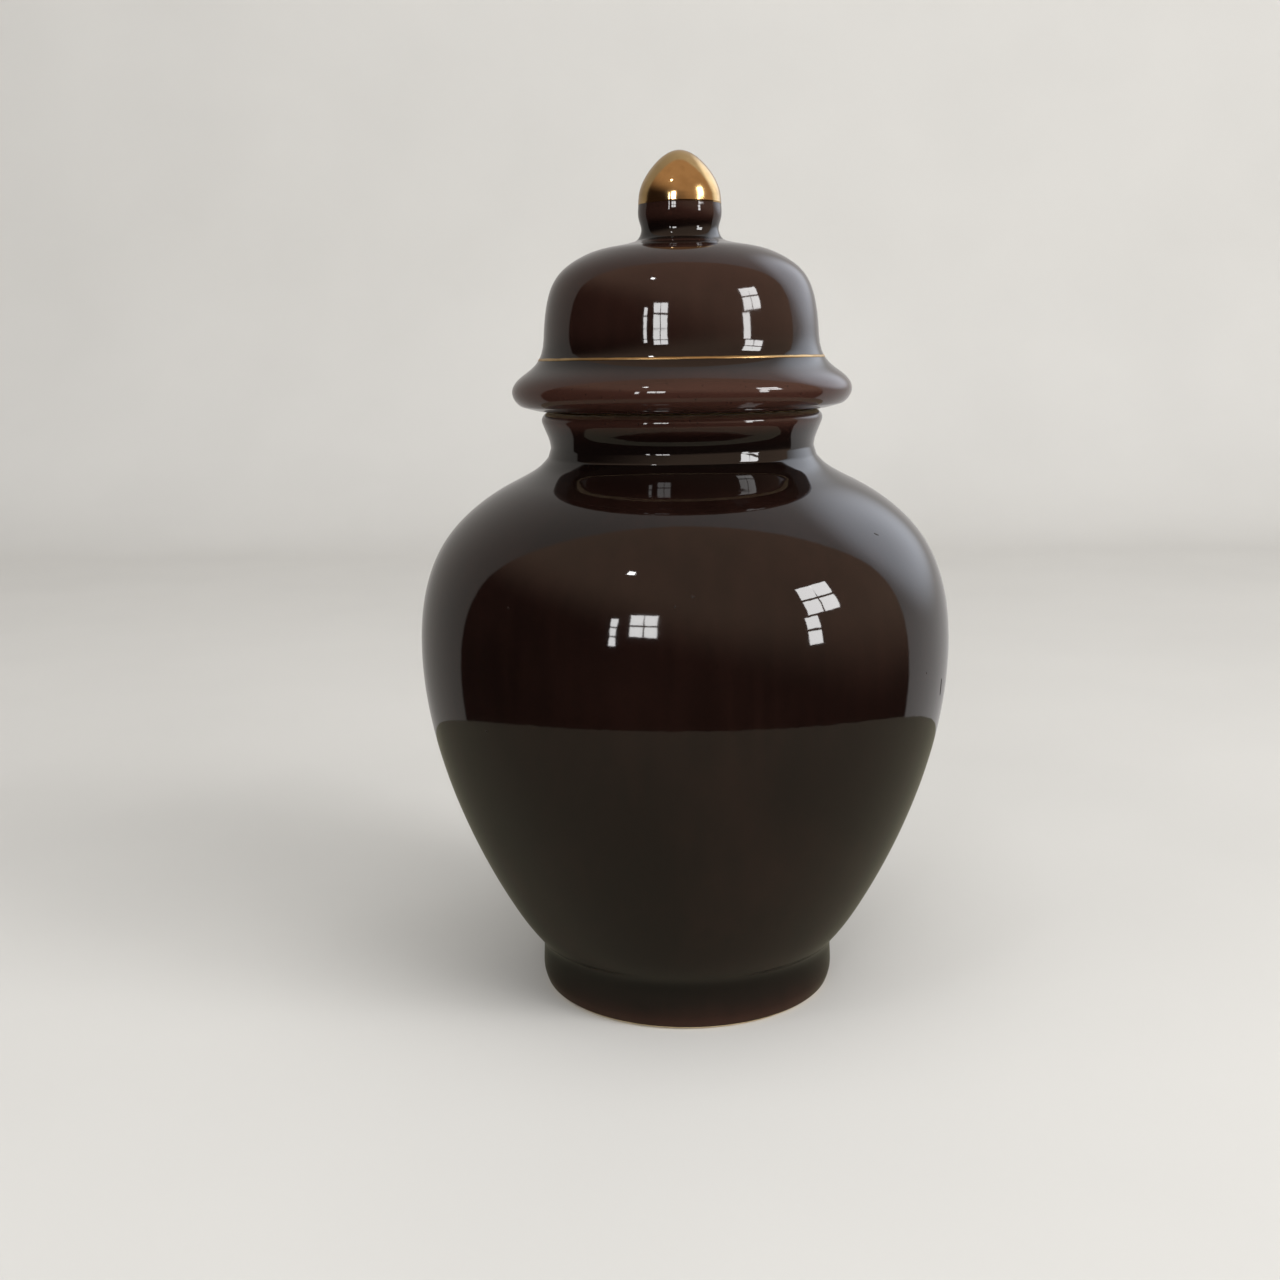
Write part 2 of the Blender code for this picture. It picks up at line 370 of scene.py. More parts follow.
def build(piece, tree, values):
    """Runs a node tree on a piece, and keeps the result as the piece's plain mesh."""
    modifier = piece.modifiers.new(tree.name, "NODES")
    modifier.node_group = tree
    for item in tree.interface.items_tree:
        if item.item_type == "SOCKET" and item.in_out == "INPUT" and item.name in values:
            modifier[item.identifier] = values[item.name]
    evaluated = piece.evaluated_get(bpy.context.evaluated_depsgraph_get())
    made = bpy.data.meshes.new_from_object(evaluated)
    before = piece.data
    piece.modifiers.remove(modifier)
    piece.data = made
    bpy.data.meshes.remove(before)
    made.name = piece.name
    if not made.polygons:
        raise RuntimeError(f"{piece.name} came out empty")
    made.materials.clear()
    made.materials.append(values["Material"])
    made.polygons.foreach_set("material_index", [0] * len(made.polygons))
    return piece


# ---------------------------------------------------------------- outlines


def cad_outline(node):
    """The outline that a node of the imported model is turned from, in order from its highest end."""
    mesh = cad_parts[node].data
    neighbours = {}
    for edge in mesh.edges:
        ends = [mesh.vertices[i].co for i in edge.vertices]
        if all(abs(end.y) < TOUCHING and end.x > -TOUCHING for end in ends):
            a, b = ((round(end.x / TOUCHING), round(end.z / TOUCHING)) for end in ends)
            if a != b:
                neighbours.setdefault(a, set()).add(b)
                neighbours.setdefault(b, set()).add(a)
    ends = [point for point, near in neighbours.items() if len(near) == 1]
    walk = [max(ends, key=lambda point: point[1])]
    while len(walk) == 1 or len(neighbours[walk[-1]]) == 2:
        walk += [point for point in neighbours[walk[-1]] if point not in walk[-2:]]
    outline = np.array(walk) * TOUCHING

    # The model has no point at the middle of a flat end
    start, end = outline[:1] * (0.0, 1.0), outline[-1:] * (0.0, 1.0)
    start = start[int(outline[0][0] < TOUCHING) :]
    end = end[int(outline[-1][0] < TOUCHING) :]
    return np.concatenate((start, outline, end))


def turns(points):
    """How far a line of points turns at each of its inner points, to the left, in radians."""
    runs = np.diff(points, axis=0)
    ahead, behind = runs[1:], runs[:-1]
    cross = behind[:, 0] * ahead[:, 1] - behind[:, 1] * ahead[:, 0]
    return np.arctan2(cross, (ahead * behind).sum(axis=1))


def lengths(points):
    """How far along a line each of its points lies."""
    return np.concatenate(([0.0], np.cumsum(np.linalg.norm(np.diff(points, axis=0), axis=1))))


def mirrored(points, count):
    """The start of a run, mirrored in the axis, so that a curve through both crosses the axis squarely."""
    return points[count:0:-1] * (-1.0, 1.0)


def smooth_run(points, settings):
    """The points of a natural cubic spline through a run, close enough together for the settings."""
    if len(points) < 3:
        return points
    across = min(3, len(points) - 1)
    before = mirrored(points, across) if points[0][0] < TOUCHING else points[:0]
    after = mirrored(points[::-1], across)[::-1] if points[-1][0] < TOUCHING else points[:0]
    knots = np.concatenate((before, points, after))
    at = lengths(knots)
    gaps = np.diff(at)
    slopes = np.diff(knots, axis=0) / gaps[:, None]
    matrix = np.eye(len(knots))
    right = np.zeros_like(knots)
    for i in range(1, len(knots) - 1):
        matrix[i, i - 1 : i + 2] = gaps[i - 1], 2 * (gaps[i - 1] + gaps[i]), gaps[i]
        right[i] = 6 * (slopes[i] - slopes[i - 1])
    bends = np.linalg.solve(matrix, right)
    turned = np.abs(np.concatenate(([0.0], turns(knots), [0.0])))
    fine = [points[0]]
    for i in range(len(before), len(before) + len(points) - 1):
        turn = (turned[i] + turned[i + 1]) / 2
        pieces = math.ceil(max(turn / settings.turn_per_step, gaps[i] / settings.step, 1))
        for share in np.arange(1, pieces + 1) / pieces:
            left, here = (1 - share) * gaps[i], share * gaps[i]
            point = (
                (bends[i] * left**3 + bends[i + 1] * here**3) / (6 * gaps[i])
                + (knots[i] / gaps[i] - bends[i] * gaps[i] / 6) * left
                + (knots[i + 1] / gaps[i] - bends[i + 1] * gaps[i] / 6) * here
            )
            fine.append(point)
    return np.array(fine)


def rounded_corner(before, corner, after, radius):
    """The points of a small bend in place of a corner."""
    back, on = before - corner, after - corner
    share_of_leg = 0.45
    reach = min(radius, share_of_leg * np.linalg.norm(back), share_of_leg * np.linalg.norm(on))
    first = corner + back / np.linalg.norm(back) * reach
    last = corner + on / np.linalg.norm(on) * reach
    points_in_bend = 6
    shares = np.linspace(0, 1, points_in_bend)[:, None]
    return (1 - shares) ** 2 * first + 2 * shares * (1 - shares) * corner + shares**2 * last


def fine_outline(points, settings, closed=False):
    """A smooth line through an outline's points, with a small bend at each sharp corner."""
    sharpest_bend = math.radians(24)
    points = np.array(points)
    if closed:
        points = np.concatenate((points[-1:], points, points[:1]))
    corners = [i + 1 for i, turn in enumerate(turns(points)) if abs(turn) > sharpest_bend]
    ends = [0, *corners, len(points) - 1]
    runs = [smooth_run(points[a : b + 1], settings) for a, b in zip(ends, ends[1:])]
    line = [runs[0][:1]]
    for i, run in enumerate(runs):
        line.append(run[1:-1])
        if i + 1 < len(runs):
            line.append(rounded_corner(run[-2], run[-1], runs[i + 1][1], settings.corner))
    line.append(runs[-1][-1:])
    line = np.concatenate(line)
    return line[1:-1] if closed else line


def thinness(outline, thinner):
    """How thin the glaze lies along an outline: 1 where it runs off a tight edge, and -1 where it pools."""
    spread = 1.3 * MM
    edge_curve, hollow_curve = 1 / (3.6 * MM), 1 / (4.0 * MM)
    at = lengths(outline)
    bend = np.concatenate(([0.0], -turns(outline), [0.0]))
    weights = np.exp(-(((at[:, None] - at[None, :]) / spread) ** 2) / 2)
    curve = (weights * bend).sum(axis=1) / (spread * math.sqrt(math.tau))
    return np.clip(np.where(curve > 0, curve / edge_curve, curve / hollow_curve), -1, 1) + thinner


def direction(azimuth, elevation):
    """The way to a place as the jar sees it, in degrees. Azimuth 0 is the front, and 90 is +X."""
    turn, rise = math.radians(azimuth), math.radians(elevation)
    return Vector((math.sin(turn) * math.cos(rise), -math.cos(turn) * math.cos(rise), math.sin(rise)))


def surface_frame(outer, azimuth, height):
    """A place on a turned surface, and its axes there: round it, up it and out of it."""
    at = int(np.argmax(outer[:, 1] < height))
    drop = outer[at + 1] - outer[at - 1]
    drop /= np.linalg.norm(drop)
    level = direction(azimuth, 0)
    round_it = direction(azimuth + 90, 0)
    out = level * -drop[1] + Vector((0, 0, drop[0]))
    axes = Matrix((round_it, out.cross(round_it), out)).transposed()
    return level * outer[at][0] + Vector((0, 0, outer[at][1])), axes


def wave_values(settings):
    """The values of a tree's inputs for the casting wave."""
    return {"Wave": settings.wave, "Wave Size": settings.wave_size, "Seed": settings.seed}


def outline_piece(name, outline, closed=False, thinner=0.0):
    """A new piece whose mesh is an outline on the XZ plane, with the glaze's thinness along it."""
    mesh = bpy.data.meshes.new(name)
    count = len(outline)
    links = [(i, (i + 1) % count) for i in range(count if closed else count - 1)]
    mesh.from_pydata([(radius, 0.0, height) for radius, height in outline], links, [])
    layer = mesh.attributes.new(THINNESS, "FLOAT", "POINT")
    layer.data.foreach_set("value", thinness(outline, thinner).astype(np.float32))
    piece = bpy.data.objects.new(name, mesh)
    bpy.context.scene.collection.objects.link(piece)
    return piece


def turned_piece(name, outline, material, settings, sides=0, closed=False, thinner=0.0):
    """A piece turned from an outline, as its plain mesh. A closed outline makes a ring, which runs true."""
    values = {"Sides": sides or settings.sides, **wave_values(settings), "Material": material}
    if closed:
        values["Wave"] = 0.0
    return build(outline_piece(name, outline, closed, thinner), turning_tree(), values)


# ---------------------------------------------------------------- materials


def new_material(name):
    """A material with no shader yet. Returns it, its node tree and the object coordinates in the tree."""
    material = bpy.data.materials.new(name)
    material.use_nodes = True
    tree = material.node_tree
    tree.nodes.clear()
    return material, tree, add(tree, "ShaderNodeTexCoord").outputs["Object"]


def pattern_scale(millimetres):
    """The scale of a texture whose features are this far apart."""
    return 1 / (millimetres * MM)


def ramp_stops(ramp, stops):
    """Gives a colour ramp its stops, as pairs of place and colour."""
    elements = ramp.color_ramp.elements
    while len(elements) < len(stops):
        elements.new(0.5)
    for element, (place, stop_colour) in zip(elements, stops):
        element.position = place
        element.color = stop_colour


def glaze_material():
    """Oxblood glaze: an iron and copper red glass, dipped and fired. It is near black where it lies thick,
    and warms to red-brown where it runs thin over an edge. Its mirror gloss is broken only by a faint
    orange peel."""
    name = "Glazed earthenware, oxblood"
    if name in bpy.data.materials:
        return bpy.data.materials[name]
    glaze = bpy.context.scene.ginger_jar_glaze
    material, tree, place = new_material(name)

    cloud = add(
        tree,
        "ShaderNodeTexNoise",
        {"Vector": place, "Scale": pattern_scale(42), "Detail": 3.0, "Roughness": 0.5},
    )
    runs_place = add(tree, "ShaderNodeMapping", {"Vector": place, "Scale": (1.0, 1.0, 0.1)})
    runs = add(
        tree,
        "ShaderNodeTexNoise",
        {"Vector": runs_place, "Scale": pattern_scale(4), "Detail": 2.0, "Roughness": 0.5},
    )
    edge = add(tree, "ShaderNodeAttribute", attribute_name=THINNESS)
    cloudy = add(
        tree,
        "ShaderNodeMapRange",
        {"Value": cloud.outputs["Fac"], "From Min": 0.3, "From Max": 0.7, "To Min": 0.26, "To Max": 0.42},
    )
    streaked = add(
        tree,
        "ShaderNodeMapRange",
        {"Value": runs.outputs["Fac"], "From Min": 0.3, "From Max": 0.7, "To Min": -0.03, "To Max": 0.03},
    )
    lying = add(
        tree,
        "ShaderNodeMath",
        {0: edge.outputs["Fac"], 1: 0.5, 2: cloudy},
        operation="MULTIPLY_ADD",
    )
    thinner = add(tree, "ShaderNodeMath", {0: lying, 1: streaked}, operation="ADD")
    depth = add(tree, "ShaderNodeValToRGB", {"Fac": thinner})
    ramp_stops(depth, [(0.0, glaze.pooled), (0.34, glaze.sound), (1.0, glaze.thin)])

    # Iron in the clay freckles the glaze with dark points a third of a millimetre across
    freckle = add(tree, "ShaderNodeTexVoronoi", {"Vector": place, "Scale": pattern_scale(1.6)}, feature="F1")
    fading = {"From Min": 0.1, "From Max": 0.24, "To Min": 0.45, "To Max": 1.0}
    freckled = add(tree, "ShaderNodeMapRange", {"Value": freckle.outputs["Distance"], **fading})
    colour_mix = add(
        tree,
        "ShaderNodeMix",
        {"Factor": 0.5, "A": depth.outputs["Color"], "B": freckled},
        data_type="RGBA",
        blend_type="MULTIPLY",
    )

    # Handling leaves the gloss a little uneven
    smear = add(tree, "ShaderNodeTexNoise", {"Vector": place, "Scale": pattern_scale(22), "Detail": 4.0})
    dulling = {"From Min": 0.35, "From Max": 0.7, "To Min": 0.028, "To Max": 0.06}
    gloss = add(tree, "ShaderNodeMapRange", {"Value": smear.outputs["Fac"], **dulling})

    # Orange peel two millimetres from crest to crest and a few thousandths deep
    peel = add(tree, "ShaderNodeTexNoise", {"Vector": place, "Scale": pattern_scale(2.2), "Detail": 1.0})
    peeled = add(
        tree, "ShaderNodeBump", {"Height": peel.outputs["Fac"], "Strength": 1.0, "Distance": 0.006 * MM}
    )
    shader = add(
        tree,
        "ShaderNodeBsdfPrincipled",
        {
            "Base Color": colour_mix.outputs["Result"],
            "Roughness": gloss,
            "IOR": 1.52,
            "Normal": peeled,
        },
    )
    add(tree, "ShaderNodeOutputMaterial", {"Surface": shader})
    return material


def gold_material(name, smoothest, roughest):
    """Fired gold lustre: liquid bright gold, brushed on and fired. It mirrors as the glaze under it does,
    warm and slightly streaked, with a duller rubbed patch here and there."""
    gilding = bpy.context.scene.ginger_jar_gilding
    material, tree, place = new_material(name)
    rub = add(tree, "ShaderNodeTexNoise", {"Vector": place, "Scale": pattern_scale(6), "Detail": 4.0})
    rubbing = {"From Min": 0.45, "From Max": 0.75}
    rubbed = add(tree, "ShaderNodeMapRange", {"Value": rub.outputs["Fac"], **rubbing})
    brush_place = add(tree, "ShaderNodeMapping", {"Vector": place, "Scale": (0.12, 0.12, 1.0)})
    brush = add(
        tree,
        "ShaderNodeTexNoise",
        {"Vector": brush_place, "Scale": pattern_scale(0.7), "Detail": 2.0},
    )
    tone = add(
        tree,
        "ShaderNodeMix",
        {"Factor": rubbed, "A": gilding.gold, "B": gilding.worn},
        data_type="RGBA",
    )
    gloss = add(tree, "ShaderNodeMapRange", {"Value": rubbed, "To Min": smoothest, "To Max": roughest})
    streaks = add(
        tree, "ShaderNodeBump", {"Height": brush.outputs["Fac"], "Strength": 1.0, "Distance": 0.004 * MM}
    )
    shader = add(
        tree,
        "ShaderNodeBsdfPrincipled",
        {
            "Base Color": tone.outputs["Result"],
            "Metallic": 1.0,
            "Roughness": gloss,
            "Normal": streaks,
        },
    )
    add(tree, "ShaderNodeOutputMaterial", {"Surface": shader})
    return material


def clay_material():
    """Bare earthenware: slip-cast clay, fettled with a damp sponge and fired unglazed. It is matt and buff,
    with a fine grain and darker patches where years of standing have stained it."""
    name = "Bare earthenware, sponged"
    if name in bpy.data.materials:
        return bpy.data.materials[name]
    clay = bpy.context.scene.ginger_jar_clay
    material, tree, place = new_material(name)
    patch = add(tree, "ShaderNodeTexNoise", {"Vector": place, "Scale": pattern_scale(5), "Detail": 5.0})
    staining = {"From Min": 0.42, "From Max": 0.78, "To Max": 0.7}
    stained = add(tree, "ShaderNodeMapRange", {"Value": patch.outputs["Fac"], **staining})
    grain = add(
        tree,
        "ShaderNodeTexNoise",
        {"Vector": place, "Scale": pattern_scale(0.35), "Detail": 3.0, "Roughness": 0.7},
    )
    speckling = {"From Min": 0.3, "From Max": 0.7, "To Min": 0.86, "To Max": 1.06}
    grit = add(tree, "ShaderNodeMapRange", {"Value": grain.outputs["Fac"], **speckling})
    tone = add(
        tree,
        "ShaderNodeMix",
        {"Factor": stained, "A": clay.body, "B": clay.stain},
        data_type="RGBA",
    )
    speckled = add(
        tree,
        "ShaderNodeMix",
        {"Factor": 1.0, "A": tone.outputs["Result"], "B": grit},
        data_type="RGBA",
        blend_type="MULTIPLY",
    )
    rough = add(tree, "ShaderNodeMapRange", {"Value": patch.outputs["Fac"], "To Min": 0.8, "To Max": 0.95})
    tooth = add(
        tree, "ShaderNodeBump", {"Height": grain.outputs["Fac"], "Strength": 1.0, "Distance": 0.03 * MM}
    )
    shader = add(
        tree,
        "ShaderNodeBsdfPrincipled",
        {
            "Base Color": speckled.outputs["Result"],
            "Roughness": rough,
            "Specular IOR Level": 0.3,
            "Normal": tooth,
        },
    )
    add(tree, "ShaderNodeOutputMaterial", {"Surface": shader})
    return material


def iron_material():
    """Iron specks: spots of iron that boiled through the glaze. They fire black and satin, and break its
    shine."""
    name = "Fired iron speck"
    if name in bpy.data.materials:
        return bpy.data.materials[name]
    material, tree, place = new_material(name)
    crust = add(tree, "ShaderNodeTexNoise", {"Vector": place, "Scale": pattern_scale(0.2), "Detail": 2.0})
    tone = add(
        tree,
        "ShaderNodeMix",
        {"Factor": crust.outputs["Fac"], "A": linear("#060404"), "B": linear("#1B0D08")},
        data_type="RGBA",
    )
    shader = add(tree, "ShaderNodeBsdfPrincipled", {"Base Color": tone.outputs["Result"], "Roughness": 0.32})
    add(tree, "ShaderNodeOutputMaterial", {"Surface": shader})
    return material


def board_material(name, paint):
    """Painted board: a matt emulsion, rolled on. It stays an even tone with hardly any sheen."""
    material, tree, place = new_material(name)
    mottle = add(tree, "ShaderNodeTexNoise", {"Vector": place, "Scale": pattern_scale(120), "Detail": 2.0})
    shade = add(tree, "ShaderNodeMapRange", {"Value": mottle.outputs["Fac"], "To Min": 0.96, "To Max": 1.04})
    tone = add(
        tree,
        "ShaderNodeMix",
        {"Factor": 1.0, "A": paint, "B": shade},
        data_type="RGBA",
        blend_type="MULTIPLY",
    )
    shader = add(
        tree,
        "ShaderNodeBsdfPrincipled",
        {"Base Color": tone.outputs["Result"], "Roughness": 0.9, "Specular IOR Level": 0.2},
    )
    add(tree, "ShaderNodeOutputMaterial", {"Surface": shader})
    return material


# ---------------------------------------------------------------- the pieces' outlines


def foot_points(whole):
    """The four corners of the jar's foot ring: outer edge, outer rest, inner rest and inner edge."""
    edge = bpy.context.scene.ginger_jar_glaze.foot_edge
    return whole[whole[:, 1] < edge + TOUCHING]


def glazed_jar_outline():
    """The glazed surface of the jar, inside and out, closed under the clay of the foot ring."""
    roll = bpy.context.scene.ginger_jar_glaze.edge_roll
    whole = cad_outline("jar_body")
    outer, _, _, inner = foot_points(whole)
    first = int(np.argmin(np.abs(whole - outer).sum(axis=1)))
    last = int(np.argmin(np.abs(whole - inner).sum(axis=1)))
    under = [
        outer + (-roll, -roll),
        outer + (-4 * roll, 0.0),
        inner + (4 * roll, 0.0),
        inner + (roll, -roll),
    ]
    return np.concatenate((whole[: first + 1], under, whole[last:]))


def foot_clay_outline():
    """The bare ring that the jar stands on, set back a little under the edge of the glaze."""
    roll = bpy.context.scene.ginger_jar_glaze.edge_roll
    outer, outer_rest, inner_rest, inner = foot_points(cad_outline("jar_body"))
    set_back = 0.7 * roll
    return np.array(
        [
            outer_rest + (-set_back, 0.0),
            inner_rest + (set_back, 0.0),
            inner + (set_back, 0.0),
            inner + (2 * set_back, 3 * roll),
            outer + (-2 * set_back, 3 * roll),
            outer + (-set_back, 0.0),
        ]
    )


def ring_points(whole):
    """The lid's underside, from the outer edge of its seat, round the locating ring, to the hollow's foot."""
    lip_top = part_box("jar_body")[1].z
    clearance = 0.6 * MM
    return whole[whole[:, 1] < lip_top + clearance]


def glazed_lid_outline():
    """The glazed surface of the lid, inside and out, closed across the seat over the locating ring."""
    roll = bpy.context.scene.ginger_jar_glaze.edge_roll
    whole = cad_outline("lid")
    ring = ring_points(whole)
    first = int(np.argmin(np.abs(whole - ring[0]).sum(axis=1)))
    last = int(np.argmin(np.abs(whole - ring[-1]).sum(axis=1)))
    across = [ring[0] + (-roll, roll), ring[-1] + (3 * roll, roll)]
    return np.concatenate((whole[: first + 1], across, whole[last:]))


def locating_ring_outline():
    """The bare seat and locating ring under the lid."""
    roll = bpy.context.scene.ginger_jar_glaze.edge_roll
    ring = ring_points(cad_outline("lid")).copy()
    top = ring[0][1] + 4 * roll
    ring[0] += (-2 * roll, 0.0)
    ring[-1] += (0.4 * roll, 0.0)
    return np.concatenate((ring, [(ring[-1][0] + 3 * roll, top), (ring[0][0] - roll, top)]))


def acorn_outline(settings):
    """The whole finial, under its gilding and out over the lid to the end of its skirt of glaze."""
    skirt = bpy.context.scene.ginger_jar_glaze.skirt
    gilt = cad_outline("gilt_tip")
    gilt = gilt[: int(np.argmin(gilt[:, 1])) + 1]
    core = cad_outline("finial")
    step = next(i for i in range(1, len(core)) if abs(core[i][1] - core[i - 1][1]) < TOUCHING)
    waist = core[step:-1]
    crown = fine_outline(cad_outline("lid"), settings)
    crown = crown[: int(np.argmax(crown[:, 0]))]

    def on_lid(radius, lift):
        return radius, np.interp(radius, crown[:, 0], crown[:, 1]) + lift

    # The skirt thins outward over the lid, and its last row dips under the lid's own glaze
    base = waist[-1][0]
    shares_and_lifts = ((0.36, 0.13), (0.72, 0.035), (1.0, 0.0), (1.2, -0.02))
    spread = [on_lid(base + share * skirt, lift * MM) for share, lift in shares_and_lifts]
    in_the_wall = 1.2 * MM
    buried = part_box("lid")[1].z - in_the_wall
    return np.concatenate((gilt, waist, spread, [(base, buried), (0.0, buried)]))


# ---------------------------------------------------------------- operators


class PieceOperator:
    """What the operators for pieces have in common."""

    bl_options = {"REGISTER", "UNDO"}

    @property
    def turning(self):
        return bpy.context.scene.ginger_jar_turning

    @property
    def glaze(self):
        return bpy.context.scene.ginger_jar_glaze

    def hand_over(self, piece, body, slot, *nodes):
        """Fixes a finished piece to its body, and hides the nodes of the model that it stands for."""
        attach(piece, body)
        if nodes:
            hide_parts(*nodes)


class GINGER_JAR_OT_glazed_jar(PieceOperator, bpy.types.Operator):
    """Turn the glazed surface of the jar"""

    bl_idname = "ginger_jar.glazed_jar"
    bl_label = "Glazed jar"

    def execute(self, context):
        outline = fine_outline(glazed_jar_outline(), self.turning)
        jar = turned_piece("glazed_jar", outline, glaze_material(), self.turning)
        self.hand_over(jar, "jar", "oxblood_glaze", "jar_body")
        return {"FINISHED"}


class GINGER_JAR_OT_glazed_lid(PieceOperator, bpy.types.Operator):
    """Turn the glazed surface of the lid"""

    bl_idname = "ginger_jar.glazed_lid"
    bl_label = "Glazed lid"

    def execute(self, context):
        outline = fine_outline(glazed_lid_outline(), self.turning)
        thinner = self.glaze.lid_thinner
        dome = turned_piece("glazed_lid", outline, glaze_material(), self.turning, thinner=thinner)
        self.hand_over(dome, "lid", "oxblood_glaze", "lid")
        return {"FINISHED"}


class GINGER_JAR_OT_bare_clay(PieceOperator, bpy.types.Operator):
    """Turn the two rings that were wiped clean of glaze: the foot ring and the lid's locating ring"""

    bl_idname = "ginger_jar.bare_clay"
    bl_label = "Bare clay rings"

    def execute(self, context):
        rings = {
            "bare_foot_ring": ("jar", "jar_body", foot_clay_outline()),
            "bare_locating_ring": ("lid", "lid", locating_ring_outline()),
        }
        for name, (body, node, coarse) in rings.items():
            outline = fine_outline(coarse, self.turning, closed=True)
            ring = turned_piece(name, outline, clay_material(), self.turning, closed=True)
            self.hand_over(ring, body, None, node)
        return {"FINISHED"}


class GINGER_JAR_OT_finial(PieceOperator, bpy.types.Operator):
    """Turn the acorn finial, with the skirt of glaze that joins it to the lid"""

    bl_idname = "ginger_jar.finial"
    bl_label = "Glazed finial"

    def execute(self, context):
        outline = fine_outline(acorn_outline(self.turning), self.turning)
        sides, thinner = self.turning.finial_sides, self.glaze.lid_thinner
        acorn = turned_piece("glazed_finial", outline, glaze_material(), self.turning, sides, thinner=thinner)
        self.hand_over(acorn, "lid", "oxblood_glaze", "finial")
        return {"FINISHED"}


class GINGER_JAR_OT_gilding(PieceOperator, bpy.types.Operator):
    """Lay the fired gold: the tip of the finial and the line round the lid"""

    bl_idname = "ginger_jar.gilding"
    bl_label = "Gilding"

    def execute(self, context):
        gilding = context.scene.ginger_jar_gilding
        acorn = fine_outline(acorn_outline(self.turning), self.turning)
        gilt_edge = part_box("gilt_tip")[0].z
        tip_end = int(np.argmax(acorn[:, 1] < gilt_edge))
        bright = gold_material("Fired gold lustre, burnished", smoothest=0.10, roughest=0.24)
        tip_rows, tip_sides = 48, self.turning.finial_sides
        self.lay("gilded_tip", "gilt_tip", bright, acorn, 0.0, lengths(acorn)[tip_end], tip_rows, tip_sides)

        dome = fine_outline(glazed_lid_outline(), self.turning)
        low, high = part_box("gilt_line")
        line = int(np.argmax(dome[:, 1] < (low.z + high.z) / 2))
        start = lengths(dome)[line] - gilding.line_width / 2
        brushed = gold_material("Fired gold lustre, brushed line", smoothest=0.34, roughest=0.48)
        line_rows, line_sides = 3, self.turning.sides
        width = gilding.line_width
        self.lay("gilded_line", "gilt_line", brushed, dome, start, width, line_rows, line_sides)
        return {"FINISHED"}

    def lay(self, name, node, gold, outline, start, width, rows, sides):
        """Lays one film along an outline, and lets it stand for a node."""
        gilding = bpy.context.scene.ginger_jar_gilding
        values = {
            "Sides": sides,
            "Rows": rows,
            "Start": start,
            "Width": width,
            "Film": gilding.film,
            "Wander": gilding.wander,
            "Wander Size": gilding.wander_size,
            **wave_values(self.turning),
            "Material": gold,
        }
        film = build(outline_piece(name, outline), gilding_tree(), values)
        self.hand_over(film, "lid", "gold_lustre", node)


# The two marks that the eye finds, on the shoulder and beside the belly: azimuth in degrees, height, length
# and width in millimetres, and tilt from upright in degrees
MARKS = (
    (51.5, 115.0, 1.5, 0.6, 65.0),
    (68.5, 78.5, 4.2, 0.45, 4.0),
)


class GINGER_JAR_OT_flaws(PieceOperator, bpy.types.Operator):
    """Set the two marks in the glaze, and strew the few small iron specks that came through it"""

    bl_idname = "ginger_jar.flaws"
    bl_label = "Iron specks"

    def execute(self, context):
        outline = fine_outline(glazed_jar_outline(), self.turning)
        outer = outline[np.argmax(outline[:, 1]) :]
        thickness, bead_steps = 0.16 * MM, 3
        lowest, highest = 22, 126
        chance = np.random.default_rng(self.turning.seed)
        marks = [(mark[0], *(size * MM for size in mark[1:4]), mark[4]) for mark in MARKS]
        for _ in range(self.glaze.flaws):
            long = self.glaze.flaw_size * chance.uniform(0.35, 1.0)
            spot = chance.uniform(0, 360), chance.uniform(lowest, highest) * MM
            marks.append((*spot, long, long * chance.uniform(0.5, 0.9), chance.uniform(0, 180)))

        places, turned, sizes = [], [], []
        for azimuth, height, long, wide, lean in marks:
            place, axes = surface_frame(outer, azimuth, height)
            places.append(place)
            turned.append((axes @ Matrix.Rotation(math.radians(lean), 3, "Z")).to_euler())
            sizes.append((wide, long, thickness))
        mesh = bpy.data.meshes.new("iron_specks")
        mesh.from_pydata(places, [], [])
        for name, values in (("turn", turned), ("size", sizes)):
            layer = mesh.attributes.new(name, "FLOAT_VECTOR", "POINT")
            layer.data.foreach_set("vector", [number for value in values for number in value])
        specks = bpy.data.objects.new("iron_specks", mesh)
        context.scene.collection.objects.link(specks)
        build(specks, flaw_tree(), {"Bead Steps": bead_steps, "Material": iron_material()})
        self.hand_over(specks, "jar", None)
        return {"FINISHED"}


# Name, azimuth, elevation, side in metres and radiance
FILLS = (
    ("overhead", 10, 70, 1.6, 1.7),
    ("left_fill", -60, 28, 1.2, 1.1),
    ("right_key", 55, 24, 1.2, 3.6),
)

# Name, azimuth, elevation, width and height in degrees, panes across and up, and radiance
WINDOWS = (
    ("left_window", -16.5, 17.5, 12, 13, 2, 2, 14),
    ("left_strip", -29, 13.5, 3, 15, 1, 3, 14),
    ("right_window", 62, 25, 17, 17, 2, 2, 14),
    ("right_strip", 55, 9.5, 7, 14, 1, 2, 14),
    ("small_lamp", -31, 53, 3, 3, 1, 1, 40),
)


